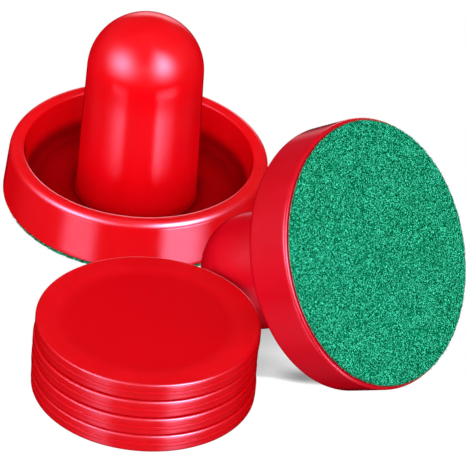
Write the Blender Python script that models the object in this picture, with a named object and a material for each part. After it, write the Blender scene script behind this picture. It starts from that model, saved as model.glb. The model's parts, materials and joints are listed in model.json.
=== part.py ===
"""Hand-held air hockey set: two felt-faced mallets and a stack of four pucks.

One mallet stands on its felt.  The other lies on its side, on the rim of its
guard ring and the dome of its handle.  The pucks are stacked on the -Y side
of the standing mallet.  Units are metres, +Z is up and the table top is z = 0.
The origin is the centre of the standing mallet's felt, where it touches the
table.  Mallet bodies and pucks are profiles in the XZ plane spun about Z; the
felt and its adhesive film are plain discs.  Both mallets share their meshes,
and the lying one hangs from an empty on its tip-up axis.
"""
import math

import bmesh
import bpy
from mathutils import Matrix, Vector

MM = 0.001
SEGMENTS = 48                 # facets round every turned piece and disc
GAP = 0.1 * MM                # play between pieces that rest on each other

# Felt pad and adhesive film, under the moulded body
FELT_R = 48.65 * MM
FELT_T = 1.5 * MM
FILM_R = 48.3 * MM
FILM_T = 0.2 * MM
FILM_Z = FELT_T + GAP
BASE_Z = FILM_Z + FILM_T + GAP            # underside of the moulded body

# Guard ring, and the recess between it and the handle
FLANGE_R = 50.0 * MM          # widest radius, at the foot of the ring
FLANGE_ROUND = 1.0 * MM
RIM_CORNER_R = 48.45 * MM     # outer wall at ring height, before rounding
RIM_ROUND = 3.0 * MM
RING_H = 22.4 * MM            # top of the guard ring above the table
RIM_DROP = 0.8 * MM           # the rim's top face falls inwards by this much
RIM_INNER_R = 43.1 * MM
RIM_INNER_ROUND = 1.5 * MM
FLOOR_R = 41.1 * MM           # foot of the recess wall
FLOOR_Z = 5.8 * MM            # recess floor
FLOOR_FILLET = 1.5 * MM

# Hollow handle, ending in a dome
MALLET_H = 80.5 * MM
GRIP_BASE_R = 22.9 * MM
GRIP_TOP_R = 21.9 * MM        # also the radius of the dome
DOME_Z = MALLET_H - GRIP_TOP_R            # centre of the dome
GRIP_FILLET = 1.8 * MM
GRIP_WALL = 2.6 * MM

# Slot under the guard ring: open downwards, tapering from foot to top
SLOT_FOOT_OUTER_R = 47.9 * MM
SLOT_TOP_OUTER_R = 46.4 * MM
SLOT_FOOT_INNER_R = 43.45 * MM
SLOT_TOP_INNER_R = 44.9 * MM
SLOT_TOP_Z = 19.4 * MM

# Radial ribs across the slot; they bite into its walls and top
RIB_COUNT = 6
RIB_T = 1.6 * MM
RIB_INNER_R = 43.25 * MM
RIB_OUTER_R = 48.15 * MM
RIB_FOOT_Z = 2.9 * MM
RIB_TOP_Z = 19.8 * MM

# Puck
PUCK_R = 41.25 * MM
PUCK_T = 7.4 * MM
PUCK_PITCH = PUCK_T + GAP
PUCK_TOP_ROUND = 0.5 * MM
PUCK_FOOT_ROUND = 1.5 * MM
PUCK_LAND_R = 33.0 * MM       # inner radius of the raised sliding rim
PUCK_WELL_R = 31.8 * MM       # flat centre, sunk in both faces
PUCK_WELL_DEPTH = 0.6 * MM

# Lying mallet
LYING_FELT_XY = (94.1 * MM, -95.6 * MM)   # felt centre in plan
LYING_BEARING = math.radians(149.9)       # plan direction of its handle
HINGE_SETBACK = 6.5 * MM      # from felt face to tip-up axis, and its height above the table

# Stack, bottom puck first: x and y in mm, turn about its own axis in degrees
STACK = [
    (12.75, -121.90, 0.0),
    (12.45, -122.00, 17.0),
    (12.40, -121.75, 41.0),
    (12.80, -121.60, 9.0),
]

RED = (0.76, 0.006, 0.022, 1.0)
GREEN = (0.010, 0.290, 0.155, 1.0)
FILM_TINT = (0.85, 0.84, 0.78, 1.0)


# Scene, materials and objects

def clear_scene():
    for obj in list(bpy.data.objects):
        bpy.data.objects.remove(obj, do_unlink=True)


def make_material(name, colour, roughness):
    mat = bpy.data.materials.new(name)
    mat.use_nodes = True
    shader = mat.node_tree.nodes["Principled BSDF"]
    shader.inputs["Base Color"].default_value = colour
    shader.inputs["Roughness"].default_value = roughness
    mat.diffuse_color = colour
    return mat


def add_object(name, mesh=None, parent=None, location=(0, 0, 0), turn=0.0):
    """Link an object to the scene; without a mesh it is an empty."""
    obj = bpy.data.objects.new(name, mesh)
    bpy.context.scene.collection.objects.link(obj)
    obj.location = location
    obj.rotation_euler = (0.0, 0.0, turn)
    obj.parent = parent
    return obj


def add_screw(obj):
    """Spin the object's profile a full turn about Z."""
    screw = obj.modifiers.new("turn", "SCREW")
    screw.axis = "Z"
    screw.angle = 2 * math.pi
    screw.steps = SEGMENTS
    screw.render_steps = SEGMENTS
    screw.use_merge_vertices = True
    screw.merge_threshold = 0.02 * MM
    screw.use_smooth_shade = True


# Profiles: lists of (x, z) points

def arc(centre, radius, start, sweep, steps):
    """Points on a circle; angles in radians from +X towards +Z."""
    points = []
    for i in range(steps + 1):
        angle = start + sweep * i / steps
        x = centre[0] + radius * math.cos(angle)
        # points on the axis must lie on it exactly
        x = 0.0 if abs(x) < 1e-9 else x
        points.append((x, centre[1] + radius * math.sin(angle)))
    return points


def round_corner(before, corner, after, radius, steps):
    """Arc of the given radius, tangent to both sides of a corner."""
    corner = Vector(corner)
    to_before = (Vector(before) - corner).normalized()
    to_after = (Vector(after) - corner).normalized()
    half_angle = math.acos(max(-1.0, min(1.0, to_before.dot(to_after)))) / 2
    reach = radius / math.tan(half_angle)
    bisector = (to_before + to_after).normalized()
    centre = corner + bisector * (radius / math.sin(half_angle))
    first = corner + to_before * reach - centre
    last = corner + to_after * reach - centre
    start = math.atan2(first.y, first.x)
    sweep = math.atan2(last.y, last.x) - start
    # go round the short way
    if sweep > math.pi:
        sweep -= 2 * math.pi
    elif sweep < -math.pi:
        sweep += 2 * math.pi
    return arc(centre, radius, start, sweep, steps)


def rounded(path):
    """Round a path of (x, z) sharp and (x, z, radius, steps) rounded corners."""
    points = []
    for i, (x, z, *rounding) in enumerate(path):
        if rounding:
            points += round_corner(path[i - 1][:2], (x, z), path[i + 1][:2], *rounding)
        else:
            points.append((x, z))
    return points


def mallet_profile():
    """From the dome down the handle, over the guard ring, then the hollows."""
    quarter = math.pi / 2
    dome = arc((0.0, DOME_Z), GRIP_TOP_R, start=quarter, sweep=-quarter, steps=9)
    skin = rounded([
        (GRIP_TOP_R, DOME_Z),
        (GRIP_BASE_R, FLOOR_Z, GRIP_FILLET, 2),
        (FLOOR_R, FLOOR_Z, FLOOR_FILLET, 2),
        (RIM_INNER_R, RING_H - RIM_DROP, RIM_INNER_ROUND, 2),
        (RIM_CORNER_R, RING_H, RIM_ROUND, 4),
        (FLANGE_R, BASE_Z, FLANGE_ROUND, 2),
        (SLOT_FOOT_OUTER_R, BASE_Z),
        (SLOT_TOP_OUTER_R, SLOT_TOP_Z),
        (SLOT_TOP_INNER_R, SLOT_TOP_Z),
        (SLOT_FOOT_INNER_R, BASE_Z),
        (GRIP_BASE_R - GRIP_WALL, BASE_Z),
    ])
    bore = arc((0.0, DOME_Z), GRIP_TOP_R - GRIP_WALL, start=0.0, sweep=quarter, steps=5)
    # the dome's last point is the skin's first
    return dome[:-1] + skin + bore


def puck_profile():
    """From the middle of the top face, round the edge, to the middle of the foot."""
    return rounded([
        (0.0, PUCK_T - PUCK_WELL_DEPTH),
        (PUCK_WELL_R, PUCK_T - PUCK_WELL_DEPTH),
        (PUCK_LAND_R, PUCK_T),
        (PUCK_R, PUCK_T, PUCK_TOP_ROUND, 1),
        (PUCK_R, 0.0, PUCK_FOOT_ROUND, 3),
        (PUCK_LAND_R, 0.0),
        (PUCK_WELL_R, PUCK_WELL_DEPTH),
        (0.0, PUCK_WELL_DEPTH),
    ])


# Meshes

def profile_mesh(name, profile, mat):
    """An edge chain in the XZ plane, ready for a Screw modifier."""
    mesh = bpy.data.meshes.new(name)
    mesh.from_pydata([(x, 0.0, z) for x, z in profile],
                     [(i, i + 1) for i in range(len(profile) - 1)], [])
    mesh.materials.append(mat)
    return mesh


def disc_mesh(name, radius, bottom, top, mat):
    work = bmesh.new()
    bmesh.ops.create_cone(work, cap_ends=True, cap_tris=False, segments=SEGMENTS,
                          radius1=radius, radius2=radius, depth=top - bottom)
    bmesh.ops.translate(work, verts=work.verts, vec=(0.0, 0.0, (bottom + top) / 2))
    bmesh.ops.recalc_face_normals(work, faces=work.faces)
    mesh = bpy.data.meshes.new(name)
    work.to_mesh(mesh)
    work.free()
    mesh.shade_smooth()
    mesh.set_sharp_from_angle(angle=math.radians(35))
    mesh.materials.append(mat)
    return mesh


def rib_mesh():
    """Radial ribs that cross the slot, the first half a pitch from +X."""
    size = (RIB_OUTER_R - RIB_INNER_R, RIB_T, RIB_TOP_Z - RIB_FOOT_Z)
    middle = ((RIB_INNER_R + RIB_OUTER_R) / 2, 0.0, (RIB_FOOT_Z + RIB_TOP_Z) / 2)
    work = bmesh.new()
    for i in range(RIB_COUNT):
        turn = Matrix.Rotation(2 * math.pi * (i + 0.5) / RIB_COUNT, 3, "Z")
        verts = bmesh.ops.create_cube(work, size=1.0)["verts"]
        bmesh.ops.scale(work, verts=verts, vec=size)
        bmesh.ops.translate(work, verts=verts, vec=middle)
        bmesh.ops.rotate(work, verts=verts, cent=(0, 0, 0), matrix=turn)
    mesh = bpy.data.meshes.new("mallet_ribs")
    work.to_mesh(mesh)
    work.free()
    return mesh


def mallet_meshes(profile, red):
    """The meshes that both mallets share, by piece."""
    green = make_material("green_felt", GREEN, roughness=0.95)
    clear = make_material("adhesive_film", FILM_TINT, roughness=0.4)
    return {
        "body": profile_mesh("mallet_body", profile, red),
        "ribs": rib_mesh(),
        "film": disc_mesh("adhesive_film", FILM_R, FILM_Z, FILM_Z + FILM_T, clear),
        "felt": disc_mesh("felt_pad", FELT_R, 0.0, FELT_T, green),
    }


# Pieces on the table

def build_mallet(name, parent, offset, meshes):
    """A mallet whose felt centre is at offset in the parent's frame."""
    body = add_object(name + "_body", meshes["body"], parent, offset)
    add_screw(body)
    guide = add_object(name + "_rib_guide", meshes["ribs"], parent, offset)
    guide.hide_render = True
    guide.display_type = "WIRE"
    union = body.modifiers.new("ribs", "BOOLEAN")
    union.operation = "UNION"
    union.solver = "EXACT"
    union.object = guide
    add_object(name + "_adhesive_film", meshes["film"], parent, offset)
    add_object(name + "_felt_pad", meshes["felt"], parent, offset)


def find_lean(profile):
    """Slope of the lying mallet's axis, and height of its felt centre.

    It rests on the guard ring and on the dome.  The lean is found by
    bisection, where either one alone would hold the felt at the same height.
    """
    ring = [(x, z) for x, z in profile if x > SLOT_TOP_OUTER_R]
    dome = [(x, z) for x, z in profile if z > DOME_Z]

    def felt_height(support, lean):
        return max(x * math.cos(lean) + z * math.sin(lean) for x, z in support)

    low, high = math.radians(20), math.radians(45)
    for _ in range(60):
        lean = (low + high) / 2
        if felt_height(ring, lean) > felt_height(dome, lean):
            low = lean
        else:
            high = lean
    return lean, felt_height(ring, lean)


def build_lying_mallet(profile, meshes):
    """Hinge frame: Z along the mallet to its dome, X to the ring's lowest side."""
    lean, height = find_lean(profile)
    up = Vector((0, 0, 1))
    plan = Vector((math.cos(LYING_BEARING), math.sin(LYING_BEARING), 0.0))
    axis = plan * math.cos(lean) - up * math.sin(lean)
    lowest = -(plan * math.sin(lean) + up * math.cos(lean))
    side = axis.cross(lowest)

    # distance from the mallet's axis that puts the hinge HINGE_SETBACK above the table
    reach = (height - HINGE_SETBACK * (1.0 + math.sin(lean))) / math.cos(lean)
    felt_centre = Vector((*LYING_FELT_XY, height))
    pivot = felt_centre + axis * HINGE_SETBACK + lowest * reach

    hinge = add_object("mallet_2_tip_axis")
    turn = Matrix((lowest, side, axis)).transposed().to_4x4()
    hinge.matrix_world = Matrix.Translation(pivot) @ turn
    build_mallet("mallet_2", hinge, (-reach, 0.0, -HINGE_SETBACK), meshes)


def build_stack(red):
    mesh = profile_mesh("puck", puck_profile(), red)
    for i, (x, y, turn) in enumerate(STACK):
        puck = add_object("puck_%d" % (i + 1), mesh,
                          location=(x * MM, y * MM, i * PUCK_PITCH),
                          turn=math.radians(turn))
        add_screw(puck)


def main():
    clear_scene()
    red = make_material("red_gloss_plastic", RED, roughness=0.22)
    profile = mallet_profile()
    meshes = mallet_meshes(profile, red)
    build_mallet("mallet_1", add_object("mallet_1_stand"), (0, 0, 0), meshes)
    build_lying_mallet(profile, meshes)
    build_stack(red)


main()
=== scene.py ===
"""Looks for the air hockey set: two felt-faced mallets and a stack of four pucks.

Fine turned meshes stand for the faceted CAD solids.  In the scene the floor is
z = 0, the camera looks from -Y (the front) and +X is to its right.  Each piece
is built about its own Z, playing face at z = 0, and then set where it lies.
Shapes are sized in millimetres; meshes, materials and the stage are in metres.
"""
import json
import math

import bmesh
import bpy
import numpy as np
from mathutils import Matrix, Vector, noise


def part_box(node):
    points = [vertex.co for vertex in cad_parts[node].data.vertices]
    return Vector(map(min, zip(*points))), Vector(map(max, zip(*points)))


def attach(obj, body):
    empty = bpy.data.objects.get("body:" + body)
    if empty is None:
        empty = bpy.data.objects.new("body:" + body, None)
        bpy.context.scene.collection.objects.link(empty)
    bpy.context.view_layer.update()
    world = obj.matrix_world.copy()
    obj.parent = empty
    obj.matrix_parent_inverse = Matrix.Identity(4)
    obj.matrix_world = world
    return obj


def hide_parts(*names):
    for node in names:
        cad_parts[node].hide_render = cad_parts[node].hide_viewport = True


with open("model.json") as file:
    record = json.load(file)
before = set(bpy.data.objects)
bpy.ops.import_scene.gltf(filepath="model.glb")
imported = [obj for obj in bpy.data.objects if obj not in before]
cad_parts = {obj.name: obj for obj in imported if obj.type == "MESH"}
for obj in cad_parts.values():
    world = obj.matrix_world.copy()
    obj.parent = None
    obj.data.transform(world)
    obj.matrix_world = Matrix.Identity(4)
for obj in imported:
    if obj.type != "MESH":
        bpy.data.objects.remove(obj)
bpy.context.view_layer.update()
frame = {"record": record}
MM = 0.001
SEGMENTS = 224     # facets round a turned piece
STEPS = 4           # unit of fineness along a rounding

# ------------------------------------------------------------------ sizes (mm)

FELT_THICK, FELT_R = 1.5, 48.65
FILM_R = 48.3
BASE_Z = 1.9                             # underside of the moulding, on the film
MALLET_R = 50.0
RIM_Z, RIM_OUTER_R = 22.4, 48.45         # top of the guard ring, sloping inwards
RIM_INNER_R, RIM_DROP = 43.1, 0.8
FLOOR_R, FLOOR_Z = 41.1, 5.8             # recess between the ring and the handle
HANDLE_FOOT_R = 22.9
DOME_R, DOME_Z = 21.9, 58.6              # round top of the handle, and its centre
BORE_R, BORE_FOOT_R = 19.3, 20.3         # hollow inside the handle
HOLLOW_Z = 19.4                          # ceiling of the hollow under the ring
RIB_SIZE = (4.9, 1.6, 16.9)              # radial, across, along Z
RIB_AT_R, RIB_AT_Z, RIB_COUNT = 45.7, 11.35, 6

PUCK_R, PUCK_THICK = 41.25, 7.4
WELL_DEPTH, WELL_R = 0.5, 28.6           # shallow well in both faces
LAND_INNER_R = 34.8                      # where the raised land starts

# ------------------------------------------------------------------ mesh code


def arc(centre_z, radius, start, stop, steps):
    """Points of an arc centred on the axis, angles in degrees."""
    angles = [math.radians(start + (stop - start) * i / steps) for i in range(steps + 1)]
    return [(radius * math.cos(a), centre_z + radius * math.sin(a)) for a in angles]


def round_corner(before, corner, after, radius, steps):
    """Tangent arc in place of a corner of the profile."""
    corner = Vector(corner)
    back = (Vector(before) - corner).normalized()
    on = (Vector(after) - corner).normalized()
    half = math.acos(max(-1.0, min(1.0, back.dot(on)))) / 2
    reach = radius / math.tan(half)
    centre = corner + (back + on).normalized() * (radius / math.sin(half))
    start = corner + back * reach - centre
    end = corner + on * reach - centre
    first = math.atan2(start.y, start.x)
    turn = math.atan2(end.y, end.x) - first
    while turn > math.pi:
        turn -= 2 * math.pi
    while turn < -math.pi:
        turn += 2 * math.pi
    angles = [first + turn * i / steps for i in range(steps + 1)]
    return [(centre.x + radius * math.cos(a), centre.y + radius * math.sin(a)) for a in angles]


def rounded(path):
    """path: (x, z, corner radius, steps); radius 0 keeps a corner."""
    points = []
    for i, (x, z, radius, steps) in enumerate(path):
        if radius <= 0.0:
            points.append((x, z))
        else:
            points += round_corner(path[i - 1][:2], (x, z), path[i + 1][:2], radius, steps)
    return points


def supported(points, longest=3.0):
    """Adds holding points near the ends of straight runs, and splits long
    ones, so that smooth shading stays on the small roundings."""
    hold = 0.14
    dense = [points[0]]
    for start, end in zip(points, points[1:]):
        length = math.hypot(end[0] - start[0], end[1] - start[1])
        if length < 1e-7:
            continue
        if length > 4 * hold:
            inner = max(1, math.ceil((length - 2 * hold) / longest))
            for k in range(inner + 1):
                t = hold / length + (1 - 2 * hold / length) * k / inner
                dense.append((start[0] + (end[0] - start[0]) * t,
                              start[1] + (end[1] - start[1]) * t))
        dense.append(end)
    return dense


def smooth(mesh, sharp):
    mesh.shade_smooth()
    mesh.set_sharp_from_angle(angle=math.radians(sharp))


def lathe(name, profile, sharp=40.0):
    """Closed turned mesh about Z from a profile in millimetres that starts
    and ends on the axis, outer side from top to bottom."""
    verts, rings = [], []
    for x, z in profile:
        if abs(x) < 1e-6:
            rings.append([len(verts)])
            verts.append((0.0, 0.0, z * MM))
        else:
            rings.append(list(range(len(verts), len(verts) + SEGMENTS)))
            for k in range(SEGMENTS):
                angle = 2 * math.pi * k / SEGMENTS
                verts.append((x * MM * math.cos(angle), x * MM * math.sin(angle), z * MM))
    faces = []
    for up, low in zip(rings, rings[1:]):
        for k in range(SEGMENTS):
            j = (k + 1) % SEGMENTS
            if len(up) == 1:
                faces.append((up[0], low[k], low[j]))
            elif len(low) == 1:
                faces.append((up[k], low[0], up[j]))
            else:
                faces.append((up[k], low[k], low[j], up[j]))
    mesh = bpy.data.meshes.new(name)
    mesh.from_pydata(verts, [], faces)
    mesh.validate()
    smooth(mesh, sharp)
    return mesh


def new_object(name, data):
    ob = bpy.data.objects.new(name, data)
    bpy.context.scene.collection.objects.link(ob)
    return ob


def add_piece(name, mesh, matrix, rider, part):
    """A copy of the mesh with its points stored where the piece lies, hung on the
    piece's body in place of the CAD part, which is hidden; the piece's own
    coordinates stay on it as an attribute for the materials."""
    own = mesh.copy()
    own.name = name
    points = np.empty(len(own.vertices) * 3, dtype=np.float32)
    own.vertices.foreach_get("co", points)
    own.attributes.new("own_place", "FLOAT_VECTOR", "POINT").data.foreach_set("vector", points)
    own.transform(matrix)
    piece = new_object(name, own)
    piece.visible_glossy = False
    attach(piece, rider)
    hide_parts(part)
    return piece


# ------------------------------------------------------------------ node trees

BLACK = (0.0, 0.0, 0.0, 1.0)


class ShaderTree:
    """Small helper to wire the nodes of a material or a world."""

    def __init__(self, owner, output="ShaderNodeOutputMaterial"):
        owner.use_nodes = True
        self.nodes, self.links = owner.node_tree.nodes, owner.node_tree.links
        self.nodes.clear()
        self.output = self.node(output)

    def feed(self, node, inputs):
        for key, value in inputs.items():
            if isinstance(value, bpy.types.NodeSocket):
                self.links.new(value, node.inputs[key])
            else:
                node.inputs[key].default_value = value

    def node(self, kind, inputs=None, **props):
        made = self.nodes.new(kind)
        for key, value in props.items():
            setattr(made, key, value)
        self.feed(made, inputs or {})
        return made

    def math(self, operation, first, second=0.0):
        return self.node("ShaderNodeMath", {0: first, 1: second}, operation=operation).outputs[0]

    def chain(self, operation, values):
        result = values[0]
        for value in values[1:]:
            result = self.math(operation, result, value)
        return result

    def add(self, *values):
        return self.chain("ADD", values)

    def mul(self, *values):
        return self.chain("MULTIPLY", values)

    def invert(self, value):
        return self.math("SUBTRACT", 1.0, value)

    def fade(self, value, mask, amount):
        """Takes the given share off the value where the mask is 1."""
        return self.mul(value, self.invert(self.mul(mask, amount)))

    def ramp(self, value, span, to=(0.0, 1.0)):
        """Smooth step between the two ends of span; span may run downwards."""
        return self.node("ShaderNodeMapRange", {
            "Value": value, "From Min": span[0], "From Max": span[1],
            "To Min": to[0], "To Max": to[1]}, interpolation_type="SMOOTHSTEP").outputs[0]

    def bell(self, value, rise, fall):
        return self.mul(self.ramp(value, rise), self.ramp(value, (fall[1], fall[0])))

    def mix(self, factor, first, second):
        return self.node("ShaderNodeMix", {"Factor": factor, 6: first, 7: second},
                         data_type="RGBA", blend_type="MIX").outputs[2]

    def noise(self, vector, scale, detail=2.0, rough=0.5, distortion=0.0):
        return self.node("ShaderNodeTexNoise", {
            "Vector": vector, "Scale": scale, "Detail": detail, "Roughness": rough,
            "Distortion": distortion}).outputs["Fac"]

    def stretch(self, vector, scale, turn=(0, 0, 0)):
        return self.node("ShaderNodeMapping", {
            "Vector": vector, "Scale": scale, "Rotation": turn}).outputs[0]

    def split(self, vector):
        return self.node("ShaderNodeSeparateXYZ", {0: vector}).outputs

    def geometry(self, output):
        return self.split(self.node("ShaderNodeNewGeometry").outputs[output])

    def occlusion(self, distance, **props):
        return self.node("ShaderNodeAmbientOcclusion", {"Distance": distance},
                         **props).outputs["AO"]

    def background(self, colour, strength):
        return self.node("ShaderNodeBackground",
                         {"Color": colour, "Strength": strength}).outputs[0]

    def choose(self, ray, otherwise, then):
        """One shader for a kind of ray and another for the rest."""
        kind = self.node("ShaderNodeLightPath").outputs[ray]
        return self.node("ShaderNodeMixShader", {0: kind, 1: otherwise, 2: then}).outputs[0]


class PieceTree(ShaderTree):
    """A principled material that reads the piece's own coordinates."""

    def __init__(self, name):
        self.material = bpy.data.materials.new(name)
        super().__init__(self.material)
        self.shader = self.node("ShaderNodeBsdfPrincipled")
        self.feed(self.output, {"Surface": self.shader.outputs[0]})
        self.where = self.node("ShaderNodeAttribute",
                               attribute_name="own_place").outputs["Vector"]


# ------------------------------------------------------------------ red plastic


class RedPlastic(PieceTree):
    """The glossy red moulding, as far as mallets and pucks share it."""

    def __init__(self, name, tint, blue=1.0):
        super().__init__(name)
        # pigment: slow flow of slightly deeper red through the moulding
        flow = self.noise(self.stretch(self.where, scale=(1, 1, 0.35)),
                          scale=55.0, detail=3.0, rough=0.55, distortion=0.6)
        deep = (0.775 * tint, 0.0012, 0.0055 * blue, 1.0)
        bright = (0.820 * tint, 0.0018, 0.0075 * blue, 1.0)
        self.skin = self.mix(self.ramp(flow, span=(0.35, 0.65)), deep, bright)
        self.x, self.y, self.z = self.split(self.where)
        self.radius = self.math("SQRT", self.add(self.mul(self.x, self.x),
                                                 self.mul(self.y, self.y)))
        self.cavity = self.occlusion(distance=0.040, samples=8, only_local=True)
        self.seam = self.occlusion(distance=0.004, samples=6)
        self.gaze = self.node("ShaderNodeLayerWeight").outputs["Facing"]
        # painted shade: deep corners are painted darker than a bare white room would leave them
        self.depth = self.ramp(self.cavity, span=(0.25, 0.75), to=(0.86, 1.0))

    def colour(self, gap, verge):
        """Base colour with painted shade: gap is what is left of the colour in seams; verge, what
        is left seen edge-on.
        """
        depth = self.mul(self.depth, self.ramp(self.seam, span=(0.35, 0.95), to=(gap, 1.0)))
        depth = self.mul(depth, self.ramp(self.gaze, span=(0.80, 0.97), to=(1.0, verge)))
        self.feed(self.shader, {"Base Color": self.mix(depth, BLACK, self.skin)})

    def bands(self, inner, lip_outer, edge_outer, bottom):
        """Masks of the lip that keeps its sheen and of the glossier edge."""
        above = self.ramp(self.z, span=(bottom, bottom + 0.0006))
        return [self.mul(self.ramp(self.radius, span=(inner, inner + 0.0004)),
                         self.ramp(self.radius, span=(outer, outer - 0.0006)), above)
                for outer in (lip_outer, edge_outer)]

    def sheen(self, lip, grazing_loss):
        """Sheen dies away in recesses and, off the lip, at grazing angles."""
        loss = self.mul(self.ramp(self.gaze, span=(0.55, 0.80), to=(0.0, grazing_loss)),
                        self.invert(lip))
        return self.mul(self.ramp(self.cavity, span=(0.45, 0.92), to=(0.02, 1.0)),
                        self.invert(loss))

    def finish(self, sheen, edge, polish):
        """Gloss, roughness and relief; polish is the least roughness."""
        level = self.add(0.5, self.mul(edge, 0.5))
        # fine hazy patches and hairline rub marks
        haze = self.ramp(self.noise(self.where, scale=160.0, detail=4.0, rough=0.6),
                         span=(0.35, 0.7), to=(0.0, 0.035))
        hairlines = self.stretch(self.where, scale=(260, 2600, 2600), turn=(0.3, 0.2, 0.7))
        rub = self.ramp(self.noise(hairlines, scale=1.0, detail=2.0, rough=0.6),
                        span=(0.62, 0.74), to=(0.0, 0.06))
        # the skin of a moulding: faint ripple and a fine grain
        ripple = self.noise(self.where, scale=120.0, detail=2.0, rough=0.5)
        grain = self.noise(self.where, scale=2600.0, detail=2.0, rough=0.6)
        height = self.add(self.mul(ripple, 1.0), self.mul(grain, 0.012))
        bump = self.node("ShaderNodeBump",
                         {"Strength": 0.22, "Distance": 0.00008, "Height": height})
        self.feed(self.shader, {
            "IOR": self.add(1.5, self.mul(edge, 0.25)),
            "Specular IOR Level": self.mul(sheen, level),
            "Roughness": self.add(haze, rub, polish),
            "Normal": bump.outputs[0]})


def mallet_plastic(name, tint, blue, grazing_loss, dome_verge=None):
    """dome_verge: if given, the handle's upper part gets less of the painted
    edge-on shade, and has less sheen."""
    tree = RedPlastic(name, tint, blue)
    z, radius = tree.z, tree.radius
    floor_z = FLOOR_Z * MM
    # the recess floor gets painted shade, darkest where it is most enclosed, and has no sheen
    within = tree.ramp(radius, span=(0.0450, 0.0440))
    low = tree.mul(tree.ramp(z, span=(floor_z + 0.0075, floor_z + 0.0010)),
                   tree.ramp(radius, span=(0.0228, 0.0234)), within)
    dull = tree.mul(tree.ramp(z, span=(floor_z + 0.0070, floor_z + 0.0025)), within)
    tree.depth = tree.fade(tree.depth, low,
                           amount=tree.ramp(tree.cavity, span=(0.90, 0.35), to=(0.0, 0.80)))
    # painted shade where the moulding is seen edge-on, less of it on the second mallet's dome,
    # and in seams
    verge = 0.42
    if dome_verge:
        verge = tree.ramp(z, span=(0.040, 0.052), to=(verge, dome_verge))
    tree.colour(gap=0.55, verge=verge)
    # the edge of the guard ring is glossiest towards the mallet's own +X and -Y
    lip, edge = tree.bands(inner=0.0425, lip_outer=0.0452, edge_outer=0.0500, bottom=0.0190)
    edge = tree.mul(edge, tree.ramp(tree.x, span=(-0.030, 0.020), to=(0.45, 1.0)),
                    tree.ramp(tree.y, span=(0.015, -0.010)))
    sheen = tree.mul(tree.sheen(lip, grazing_loss), tree.invert(dull))
    # little sheen on the foot of the handle, and less in a band below the dome
    foot = tree.mul(tree.ramp(z, span=(floor_z + 0.0230, floor_z + 0.0100)),
                    tree.ramp(radius, span=(0.0245, 0.0238)))
    sheen = tree.fade(sheen, foot, amount=0.93)
    neck = tree.bell(z, rise=(0.0480, 0.0575), fall=(0.0630, 0.0665))
    sheen = tree.fade(sheen, neck, amount=0.68)
    if dome_verge:
        sheen = tree.mul(sheen, tree.ramp(z, span=(0.040, 0.052), to=(1.0, 0.62)))
    tree.finish(sheen, edge, polish=0.15)
    return tree.material


def puck_plastic(name, tint):
    tree = RedPlastic(name, tint)
    # painted shade: the well is painted a deeper red, and the sides darker
    well_edge, softness = 0.0315, 0.0030
    well = tree.ramp(tree.radius, span=(well_edge + softness, well_edge - softness))
    tree.skin = tree.mix(well, tree.skin, (0.700 * tint, 0.0010, 0.0052, 1.0))
    side = tree.ramp(tree.geometry("Normal")[2], span=(0.80, 0.30), to=(0.0, 0.07))
    tree.skin = tree.mix(side, tree.skin, BLACK)
    # painted shade in the seams between stacked pucks and where the sides are seen edge-on
    tree.colour(gap=0.84, verge=0.42)
    # gloss of the edge changes with where it faces in the scene
    lip, edge = tree.bands(inner=0.0398, lip_outer=0.0399, edge_outer=0.0500, bottom=0.0058)
    face_x, face_y, face_z = tree.geometry("Normal")
    edge = tree.mul(edge, tree.ramp(face_x, span=(0.70, 0.35), to=(0.2, 1.0)),
                    tree.ramp(face_x, span=(-0.50, 0.05), to=(0.10, 0.80)))
    sheen = tree.fade(tree.sheen(lip, grazing_loss=0.96), well, amount=0.8)
    sheen = tree.mul(sheen, tree.ramp(tree.radius, span=(0.0385, 0.0400), to=(0.6, 1.0)))
    # sides turned to the back or to the far left have little sheen
    lit = tree.mul(tree.ramp(face_y, span=(0.20, -0.10)),
                   tree.ramp(face_x, span=(-0.62, -0.30), to=(0.45, 1.0)))
    unlit = tree.mul(tree.invert(lit), tree.ramp(face_z, span=(0.92, 0.60)))
    sheen = tree.fade(sheen, unlit, amount=0.8)
    sheen = tree.mul(sheen, tree.ramp(face_z, span=(0.30, 0.80), to=(0.82, 1.0)))
    # nor have the flat faces, seen at a slant
    flat = tree.mul(tree.ramp(face_z, span=(0.80, 0.95)), tree.ramp(tree.gaze, span=(0.48, 0.64)))
    sheen = tree.fade(sheen, flat, amount=0.85)
    # the sides are a little less polished than the faces
    tree.finish(sheen, edge, polish=tree.ramp(face_z, span=(0.30, 0.80), to=(0.22, 0.14)))
    return tree.material


# ------------------------------------------------------------------ felt and film


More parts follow.
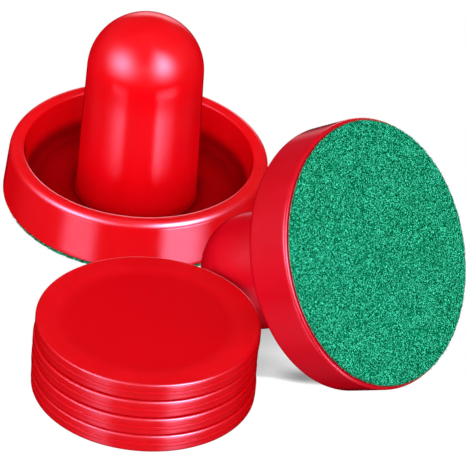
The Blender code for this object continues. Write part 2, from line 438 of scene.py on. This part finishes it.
def green_felt(name):
    tree = PieceTree(name)
    where = tree.where
    # tufts: every fibre end catches the light its own way
    wander = tree.node("ShaderNodeTexNoise", {"Vector": where, "Scale": 1500.0})
    shift = tree.node("ShaderNodeVectorMath", {
        0: wander.outputs["Color"], 1: (0.0006, 0.0006, 0.0006), 2: where},
        operation="MULTIPLY_ADD")
    tuft = tree.node("ShaderNodeTexVoronoi", {"Vector": shift.outputs[0], "Scale": 4100.0},
                     feature="F1")
    chance = tree.node("ShaderNodeSeparateColor", {0: tuft.outputs["Color"]}).outputs[0]
    # fibres laid at several angles, the brightest one wins
    layers = [tree.noise(tree.stretch(where, scale=(1700 + 90 * k, 4200 - 120 * k, 2500),
                                      turn=(0.0, 0.0, turn)),
                         scale=1.0, detail=3.0, rough=0.6, distortion=0.3)
              for k, turn in enumerate((0.2, 1.25, 2.3))]
    fibre = tree.chain("MAXIMUM", layers)
    pits = tree.noise(where, scale=3000.0, detail=1.0, rough=0.6)
    clump = tree.noise(where, scale=70.0, detail=3.0, rough=0.55)
    drift = tree.noise(where, scale=18.0, detail=1.0, rough=0.5)
    # ground tones, then dark gaps, lit fibres and bright tips
    colour = tree.mix(tree.ramp(drift, span=(0.35, 0.65)),
                      (0.000, 0.288, 0.126, 1), (0.000, 0.280, 0.106, 1))
    colour = tree.mix(tree.ramp(clump, span=(0.3, 0.7), to=(0.0, 0.20)),
                      colour, (0.003, 0.285, 0.142, 1))
    dark = tree.math("MAXIMUM", tree.ramp(chance, span=(0.40, 0.26)),
                     tree.ramp(pits, span=(0.45, 0.36), to=(0.0, 0.8)))
    colour = tree.mix(dark, colour, (0.000, 0.018, 0.006, 1))
    colour = tree.mix(tree.ramp(fibre, span=(0.68, 0.82), to=(0.0, 0.6)),
                      colour, (0.004, 0.720, 0.380, 1))
    colour = tree.mix(tree.ramp(chance, span=(0.79, 0.85)), colour, (0.090, 1.000, 0.640, 1))
    bump = tree.node("ShaderNodeBump", {"Strength": 0.7, "Distance": 0.00025,
                                        "Height": tree.add(fibre, tree.mul(pits, 0.8))})
    tree.feed(tree.shader, {
        "Base Color": colour,
        "Roughness": 0.95,
        "Specular IOR Level": 0.02,
        "Sheen Weight": 0.0,
        "Sheen Roughness": 0.6,
        "Sheen Tint": (0.45, 0.9, 0.7, 1.0),
        "Normal": bump.outputs[0]})
    return tree.material


def milky_film(name):
    tree = PieceTree(name)
    blotch = tree.noise(tree.where, scale=240.0, detail=3.0, rough=0.6)
    tree.feed(tree.shader, {
        "Base Color": tree.mix(blotch, (0.55, 0.50, 0.42, 1), (0.72, 0.69, 0.60, 1)),
        "Roughness": 0.45})
    return tree.material


# ------------------------------------------------------------------ mallets


def mallet_profile():
    """From the top of the dome, down the handle, over the guard ring, through
    the hollow under it and up the bore."""
    dome = arc(DOME_Z, DOME_R, 90.0, 1.1, 11 * STEPS)
    skin = rounded([
        # x, z, corner radius, steps
        dome[-1] + (0, 0),
        (HANDLE_FOOT_R, FLOOR_Z, 0.3, STEPS),
        (FLOOR_R, FLOOR_Z, 4.0, 3 * STEPS),
        (RIM_INNER_R, RIM_Z - RIM_DROP, 1.5, 3 * STEPS),
        (RIM_OUTER_R, RIM_Z, 3.0, 5 * STEPS),
        (49.98, 3.9, 0.5, STEPS),
        (MALLET_R, 3.3, 0, 0),
        (MALLET_R, BASE_Z, 1.15, 3 * STEPS),
        (47.9, BASE_Z, 0.25, STEPS),
        (46.4, HOLLOW_Z, 0.5, STEPS),
        (44.9, HOLLOW_Z, 0.5, STEPS),
        (43.45, BASE_Z, 0.25, STEPS),
        (BORE_FOOT_R, BASE_Z, 0.3, STEPS),
        (BORE_R, DOME_Z, 0, 0),
    ])
    bore = arc(DOME_Z, BORE_R, 0.0, 90.0, 6 * STEPS)
    return supported(dome[:-1] + skin[:-1] + bore)


def rib_mesh():
    bm = bmesh.new()
    for i in range(RIB_COUNT):
        made = bmesh.ops.create_cube(bm, size=1.0)["verts"]
        bmesh.ops.scale(bm, verts=made, vec=Vector(RIB_SIZE) * MM)
        bmesh.ops.translate(bm, verts=made, vec=(RIB_AT_R * MM, 0.0, RIB_AT_Z * MM))
        bmesh.ops.rotate(bm, verts=made, cent=(0, 0, 0),
                         matrix=Matrix.Rotation(2 * math.pi * (i + 0.5) / RIB_COUNT, 3, "Z"))
    mesh = bpy.data.meshes.new("ribs")
    bm.to_mesh(mesh)
    bm.free()
    return mesh


def ribbed(mesh):
    """Joins the radial ribs to the hollow under the guard ring."""
    ob = new_object("ribbing", mesh)
    tool = new_object("rib_tool", rib_mesh())
    union = ob.modifiers.new("ribs", "BOOLEAN")
    union.operation = "UNION"
    union.solver = "EXACT"
    union.object = tool
    bpy.context.view_layer.update()
    depsgraph = bpy.context.evaluated_depsgraph_get()
    joined = bpy.data.meshes.new_from_object(ob.evaluated_get(depsgraph))
    for helper in (ob, tool):
        bpy.data.objects.remove(helper)
    joined.name = "mallet_skin"
    smooth(joined, sharp=40)
    joined.materials.clear()
    return joined


def film_mesh():
    path = [(0.0, BASE_Z, 0, 0), (FILM_R, BASE_Z, 0.1, 2),
            (FILM_R, FELT_THICK, 0.1, 2), (0.0, FELT_THICK, 0, 0)]
    return lathe("film", supported(rounded(path), longest=12.0))


def square_to_disc(u, v):
    """Even map of the square [-1, 1] x [-1, 1] onto the unit disc."""
    if abs(u) < 1e-12 and abs(v) < 1e-12:
        return 0.0, 0.0
    if abs(u) > abs(v):
        radius, angle = u, math.pi / 4 * v / u
    else:
        radius, angle = v, math.pi / 2 - math.pi / 4 * u / v
    return radius * math.cos(angle), radius * math.sin(angle)


def felt_point(u, v, seed):
    """A point of the playing face, with fibre bundles and pits pressed in."""
    x, y = square_to_disc(u, v)
    share = math.hypot(x, y)
    x, y = x * FELT_R * MM, y * FELT_R * MM
    p = Vector((x, y, 0.0)) / MM + Vector((seed * 11.3, seed * 5.7, 0.0))
    bundles = noise.noise(Vector((p.x * 0.8, p.y * 1.3, 0.3)))
    crossing = noise.noise(Vector((p.x * 1.2 + p.y * 0.6, p.y * 0.9 - p.x * 0.4, 4.1)))
    swell = noise.noise(p * 0.22 + Vector((0, 0, 9.0)))
    z = max(0.0, 0.10 + 0.05 * bundles + 0.04 * crossing + 0.03 * swell) * MM
    if share > 0.999:                        # ragged cut edge
        angle = math.atan2(y, x)
        ragged = 1
        for amount, pitch in ((0.0050, 22), (0.0060, 58)):
            ragged += amount * noise.noise(
                Vector((math.cos(angle) * pitch, math.sin(angle) * pitch, seed)))
        return x * ragged, y * ragged, z + 0.22 * MM
    if share > 0.988:
        z += 0.07 * MM
    return x, y, z


def add_fibre(rng, verts, faces):
    """A loose curled fibre, three-sided and tapering, at the cut edge."""
    angle = rng.uniform(0, 2 * math.pi)
    out = Vector((math.cos(angle), math.sin(angle), 0.0))
    along = Vector((-out.y, out.x, 0.0))
    root = out * (FELT_R - 0.25) * MM + Vector((0, 0, rng.uniform(0.1, 1.35) * MM))
    way = (out + along * rng.uniform(-1.4, 1.4)
           + Vector((0, 0, rng.uniform(-0.5, 0.5)))).normalized()
    curl = along * rng.uniform(-0.8, 0.8) + Vector((0, 0, rng.uniform(-0.6, 0.6)))
    length = rng.uniform(0.5, 1.15) * MM
    thick = rng.uniform(0.035, 0.065) * MM
    side = way.cross(Vector((0, 0, 1))).normalized()
    lift = side.cross(way)
    last = None
    for step in range(4):
        t = step / 3
        centre = root + way * (length * t) + curl * (length * 0.35 * t * t)
        centre.z = min(max(centre.z, 0.07 * MM), FELT_THICK * MM)
        ring = list(range(len(verts), len(verts) + 3))
        for m in range(3):
            turn = 2 * math.pi * m / 3
            spoke = side * math.cos(turn) + lift * math.sin(turn)
            verts.append(tuple(centre + spoke * thick * (1 - 0.7 * t)))
        if last:
            for m in range(3):
                j = (m + 1) % 3
                faces.append((last[m], last[j], ring[j], ring[m]))
        else:
            faces.append(tuple(ring))
        last = ring
    faces.append(tuple(reversed(last)))


def felt_mesh(seed):
    """Needled felt disc, playing face down at z = 0, plain back at FELT_THICK."""
    n = 250            # cells across the face

    def grid(i, j):
        return i * (n + 1) + j

    verts = [felt_point(2 * i / n - 1, 2 * j / n - 1, seed)
             for i in range(n + 1) for j in range(n + 1)]
    faces = [(grid(i, j), grid(i, j + 1), grid(i + 1, j + 1), grid(i + 1, j))
             for i in range(n) for j in range(n)]
    rim = ([grid(i, 0) for i in range(n)] + [grid(n, j) for j in range(n)]
           + [grid(i, n) for i in range(n, 0, -1)] + [grid(0, j) for j in range(n, 0, -1)])
    last = rim
    # height in mm and scale of each ring up the cut edge
    for level, (z, scale) in enumerate(((0.55, 1.0004), (0.95, 0.9992), (1.3, 1.0),
                                        (FELT_THICK, 0.9975))):
        ring = list(range(len(verts), len(verts) + len(rim)))
        for base in rim:
            x, y, _ = verts[base]
            wobble = 1 + 0.0016 * noise.noise(
                Vector((x / MM * 1.1, y / MM * 1.1, level * 3.0 + seed)))
            verts.append((x * scale * wobble, y * scale * wobble, z * MM))
        for k in range(len(rim)):
            m = (k + 1) % len(rim)
            faces.append((last[k], last[m], ring[m], ring[k]))
        last = ring
    centre = len(verts)
    verts.append((0.0, 0.0, FELT_THICK * MM))
    for k in range(len(rim)):
        faces.append((last[k], last[(k + 1) % len(rim)], centre))
    rng = np.random.default_rng(40 + seed)
    for _ in range(2400):
        add_fibre(rng, verts, faces)
    mesh = bpy.data.meshes.new("felt_%d" % seed)
    mesh.from_pydata(verts, [], faces)
    mesh.validate()
    bm = bmesh.new()
    bm.from_mesh(mesh)
    bmesh.ops.recalc_face_normals(bm, faces=bm.faces)
    bm.to_mesh(mesh)
    bm.free()
    mesh.shade_smooth()
    return mesh


def mallet_matrix(mount):
    """Frame of a mallet from its felt face: origin at the centre of the face,
    Z into the pad towards the handle, X towards its lowest side."""
    centre = Vector(mount["pos_m"])
    axis = -Vector(mount["axis"]).normalized()
    if abs(axis.z) > 0.999:
        return Matrix.Translation(centre)
    low = -(Vector((0, 0, 1)) - axis * axis.z).normalized()
    turn = Matrix((low, axis.cross(low), axis)).transposed().to_4x4()
    return Matrix.Translation(centre) @ turn


# one red for both mallets, in a lit copy and a painted-shade copy: the second is darker and a
# little bluer
reds = [mallet_plastic("red_moulded_plastic_1", tint=1.14, blue=1.0, grazing_loss=0.985),
        mallet_plastic("red_moulded_plastic_2", tint=0.88, blue=1.8, grazing_loss=0.80,
                       dome_verge=0.88)]
felt_material = green_felt("green_needled_felt")
film_material = milky_film("milky_film")
body = ribbed(lathe("mallet_turned", mallet_profile()))
film = film_mesh()
film.materials.append(film_material)

mounts = {m["name"]: m for m in frame["record"]["mounts"]}
mouldings = []
for k in (1, 2):
    place = mallet_matrix(mounts["playing_face_%d" % k])
    rider = "mallet_%d" % k
    moulding = add_piece(rider + "_moulding", body, place, rider, rider + "_body")
    moulding.data.materials.append(reds[k - 1])
    mouldings.append(moulding)
    add_piece(rider + "_film", film, place, rider, rider + "_adhesive_film")
    felt = felt_mesh(k)
    felt.materials.append(felt_material)
    add_piece(rider + "_felt", felt, place, rider, rider + "_felt_pad")

# ------------------------------------------------------------------ pucks


def puck_profile():
    steps = 2 * STEPS

    def well_step(i):
        """Radius and depth on the soft step from the well (0) to the land."""
        t = i / steps
        return (WELL_R + (LAND_INNER_R - WELL_R) * t,
                WELL_DEPTH * (1 - t * t * (3 - 2 * t)))

    upper = [(0.0, PUCK_THICK - WELL_DEPTH)]
    for i in range(steps + 1):
        radius, depth = well_step(i)
        upper.append((radius, PUCK_THICK - depth))
    side = [
        # inset from PUCK_R, z, corner radius, steps
        (0.0, PUCK_THICK, 1.0, 4 * STEPS),
        (0.01, 4.62, 0.07, STEPS),           # parting groove of the two mould halves
        (0.32, 4.40, 0.07, STEPS),
        (0.32, 4.08, 0.07, STEPS),
        (0.03, 3.90, 0.07, STEPS),
        (0.03, 2.95, 0.3, STEPS),
        (0.16, 2.62, 0.3, STEPS),
        (0.16, 0.0, 1.3, 4 * STEPS),
    ]
    outer = rounded([upper[-1] + (0, 0)]
                    + [(PUCK_R - inset, z, radius, count) for inset, z, radius, count in side]
                    + [(LAND_INNER_R, 0.0, 0, 0)])
    lower = [well_step(i) for i in range(steps - 1, -1, -1)] + [(0.0, WELL_DEPTH)]
    return supported(upper[:-1] + outer + lower, longest=4.0)


puck = lathe("puck_turned", puck_profile(), sharp=50.0)
puck.materials.append(puck_plastic("red_puck_plastic", tint=0.97))
for k in range(1, 5):
    name = "puck_%d" % k
    low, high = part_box(name)
    centre = ((low.x + high.x) / 2, (low.y + high.y) / 2, low.z)
    place = Matrix.Translation(centre) @ Matrix.Rotation(0.7 * k, 4, "Z")
    add_piece(name + "_moulding", puck, place, name, name)

# ------------------------------------------------------------------ floor

FLOOR_HALF, FLOOR_SINK = 6.0, 0.00005


def pale_floor(name):
    """Seen directly the floor glows evenly, with a painted shadow only in tight
    corners; to every other ray it is plain grey."""
    material = bpy.data.materials.new(name)
    tree = ShaderTree(material)
    shade = tree.occlusion(distance=0.03, samples=24)
    x, y, _ = tree.geometry("Position")
    # the painted shadow weakens to the right, to the left, to the front and to the back
    light = tree.add(tree.add(shade, tree.ramp(x, span=(0.074, 0.090), to=(0.0, 0.36))),
                     tree.add(tree.ramp(x, span=(0.045, 0.030), to=(0.0, 0.25)),
                              tree.ramp(y, span=(-0.1060, -0.1095), to=(0.0, 0.30))))
    light = tree.add(light, tree.ramp(y, span=(-0.1000, -0.0890), to=(0.0, 0.16)))
    # and one small patch of the painted shadow is darker, where the occlusion already shades it
    patch = tree.mul(tree.mul(tree.ramp(x, span=(0.057, 0.072), to=(0.0, 0.42)),
                              tree.ramp(x, span=(0.096, 0.084))),
                     tree.mul(tree.ramp(y, span=(-0.0980, -0.1045)),
                              tree.ramp(y, span=(-0.1115, -0.1080))))
    patch = tree.mul(patch, tree.ramp(shade, span=(0.85, 0.70)))
    tone = tree.node("ShaderNodeValToRGB", {0: tree.math("SUBTRACT", light, patch)})
    tone.color_ramp.interpolation = "LINEAR"
    stops = tone.color_ramp.elements
    for position, grey in ((0.05, 0.20), (0.30, 0.52), (0.46, 0.70)):
        stops.new(position).color = (grey, grey, grey, 1)
    stops[0].color = (0.10, 0.10, 0.10, 1)
    stops[-1].position = 0.57                # white from here on
    glow = tree.node("ShaderNodeEmission", {"Color": tone.outputs[0], "Strength": 1.0})
    plain = tree.node("ShaderNodeBsdfDiffuse", {"Color": (0.42, 0.42, 0.42, 1)})
    tree.feed(tree.output, {"Surface": tree.choose(
        "Is Camera Ray", otherwise=plain.outputs[0], then=glow.outputs[0])})
    return material


floor_mesh = bpy.data.meshes.new("floor")
floor_mesh.from_pydata([(x * FLOOR_HALF, y * FLOOR_HALF, 0)
                        for x, y in ((-1, -1), (1, -1), (1, 1), (-1, 1))], [], [(0, 1, 2, 3)])
floor = new_object("floor", floor_mesh)
floor.matrix_world = Matrix.Translation((0, 0, -FLOOR_SINK))
floor_mesh.materials.append(pale_floor("pale_floor"))
floor.visible_glossy = False

# ------------------------------------------------------------------ room

DEGREES = 57.29578                           # in a radian

# windows in reflections: azimuth from the front (to the right is positive),
# elevation, their spreads, power
WINDOWS = ((-54.0, 28.0, 19.0, 13.0, 15.0),
           (46.0, 36.0, 15.0, 14.0, 22.0))

# their sheen off the table: elevation rise and fall of a band
DEEP = ((-72.0, -50.0), (-31.0, -26.5))      # seen in upright walls
SHALLOW = ((-31.0, -26.5), (-18.0, -6.0))    # seen in the tapered guard rings
# band, azimuth rise, azimuth fall, power
TABLE_SHEEN = (
    (DEEP, (-58.0, -38.0), (-36.0, -25.0), 1.8),
    (DEEP, (-80.0, -40.0), (-36.0, -25.0), 1.2),
    (SHALLOW, (-64.0, -50.0), (-36.0, -24.0), 3.8),
    (DEEP, (27.0, 35.0), (37.0, 56.0), 2.8),
    (DEEP, (27.0, 35.0), (38.0, 76.0), 1.8),
    (DEEP, (-36.0, -22.0), (20.0, 34.0), 0.12),
    (SHALLOW, (23.0, 34.0), (50.0, 74.0), 8.0),
)


def reflections(tree):
    """The room as glossy rays see it."""
    x, y, z = tree.split(tree.node("ShaderNodeTexCoord").outputs["Generated"])
    azimuth = tree.mul(tree.math("ARCTAN2", x, tree.mul(y, -1.0)), DEGREES)
    elevation = tree.mul(tree.math("ARCSINE", z), DEGREES)
    parts = []
    for centre_az, centre_el, spread_az, spread_el, power in WINDOWS:
        across = tree.math("DIVIDE", tree.math("SUBTRACT", azimuth, centre_az), spread_az)
        up = tree.math("DIVIDE", tree.math("SUBTRACT", elevation, centre_el), spread_el)
        square = tree.add(tree.mul(across, across), tree.mul(up, up))
        parts.append(tree.mul(tree.math("EXPONENT", tree.mul(square, -0.5)), power))
    for (low, high), rise, fall, power in TABLE_SHEEN:
        parts.append(tree.mul(tree.bell(azimuth, rise, fall),
                              tree.bell(elevation, low, high), power))
    parts += [
        # the pale wall behind, low down
        tree.mul(tree.mul(tree.ramp(y, span=(0.78, 0.96)), 0.07),
                 tree.mul(tree.ramp(elevation, span=(12.0, 4.0)),
                          tree.ramp(elevation, span=(-14.0, -3.0)))),
        # faint light from above, and from below the horizon, save at the back
        tree.mul(tree.ramp(y, span=(0.55, 0.0)),
                 tree.ramp(elevation, span=(0.0, 30.0), to=(0.0, 0.24))),
        tree.mul(tree.ramp(elevation, span=(4.0, -14.0)),
                 tree.ramp(y, span=(0.5, 0.1), to=(0.0, 0.06))),
    ]
    gleam = 0.0
    for part in parts:
        gleam = tree.add(part, gleam)
    # a bright sweep at the horizon behind
    from_back = tree.mul(tree.math("ARCTAN2", x, y), DEGREES)
    sweep = tree.mul(tree.bell(from_back, rise=(-18.0, -4.0), fall=(8.0, 21.0)),
                     tree.bell(elevation, rise=(-21.0, -9.0), fall=(7.0, 16.0)))
    shine = tree.background(colour=(1.0, 0.62, 1.0, 1), strength=gleam)
    behind = tree.background(colour=(1.0, 0.72, 0.82, 1), strength=tree.mul(sweep, 2.4))
    return elevation, tree.node("ShaderNodeAddShader", {0: shine, 1: behind}).outputs[0]


# white to the eye, a soft fill for diffuse light, windows in reflections
world = bpy.data.worlds.new("studio")
bpy.context.scene.world = world
room = ShaderTree(world, "ShaderNodeOutputWorld")
world.cycles.sampling_method = "NONE"
elevation, mirrored = reflections(room)
level = room.ramp(elevation, span=(50.0, 15.0), to=(0.0, 0.50))
fill = room.background(colour=(1.0, 0.99, 0.985, 1), strength=room.add(level, 0.66))
white = room.background(colour=(1, 1, 1, 1), strength=1.0)
unseen = room.choose("Is Glossy Ray", otherwise=fill, then=mirrored)
room.feed(room.output, {"Surface": room.choose("Is Camera Ray", otherwise=unseen, then=white)})

# ------------------------------------------------------------------ front light

LIGHT_AIM = Vector((0.04, -0.07, 0.03))
LIGHT_AZIMUTH, LIGHT_ELEVATION = math.radians(6.0), math.radians(35.0)
LIGHT_DISTANCE = 1.6

light = bpy.data.lights.new("softbox_front", "AREA")
light.shape = "RECTANGLE"
light.size, light.size_y = 0.9, 0.6
light.energy = 12.5
key = new_object("softbox_front", light)
way = Vector((math.sin(LIGHT_AZIMUTH) * math.cos(LIGHT_ELEVATION),
              -math.cos(LIGHT_AZIMUTH) * math.cos(LIGHT_ELEVATION),
              math.sin(LIGHT_ELEVATION)))
key.location = LIGHT_AIM + way * LIGHT_DISTANCE
key.rotation_euler = way.to_track_quat("Z", "Y").to_euler()
key.visible_glossy = False
key.visible_camera = False
# only the first mallet's moulding casts shadows under the front light, so the
# pieces laid close together don't darken each other
blockers = bpy.data.collections.new("front_light_blockers")
blockers.objects.link(mouldings[0])
key.light_linking.blocker_collection = blockers

# ------------------------------------------------------------------ camera

CAMERA_PLACE = (0.10388067, -2.89792089, 1.95328957)
CAMERA_AXES = ((0.99470698, 0.07219786, 0.07311291),      # right
               (-0.10100959, 0.55657603, 0.82463336),     # up
               (0.01884387, -0.82765367, 0.56092274))     # back

lens = bpy.data.cameras.new("camera")
camera = new_object("camera", lens)
camera.matrix_world = (Matrix.Translation(CAMERA_PLACE)
                       @ Matrix(CAMERA_AXES).transposed().to_4x4())
lens.sensor_width = 36.0
lens.lens = 716.96163
lens.clip_start, lens.clip_end = 0.1, 30.0
bpy.context.scene.camera = camera

view = bpy.context.scene.view_settings
view.view_transform = "Standard"
view.look = "None"
view.exposure = 0.0
view.gamma = 1.0
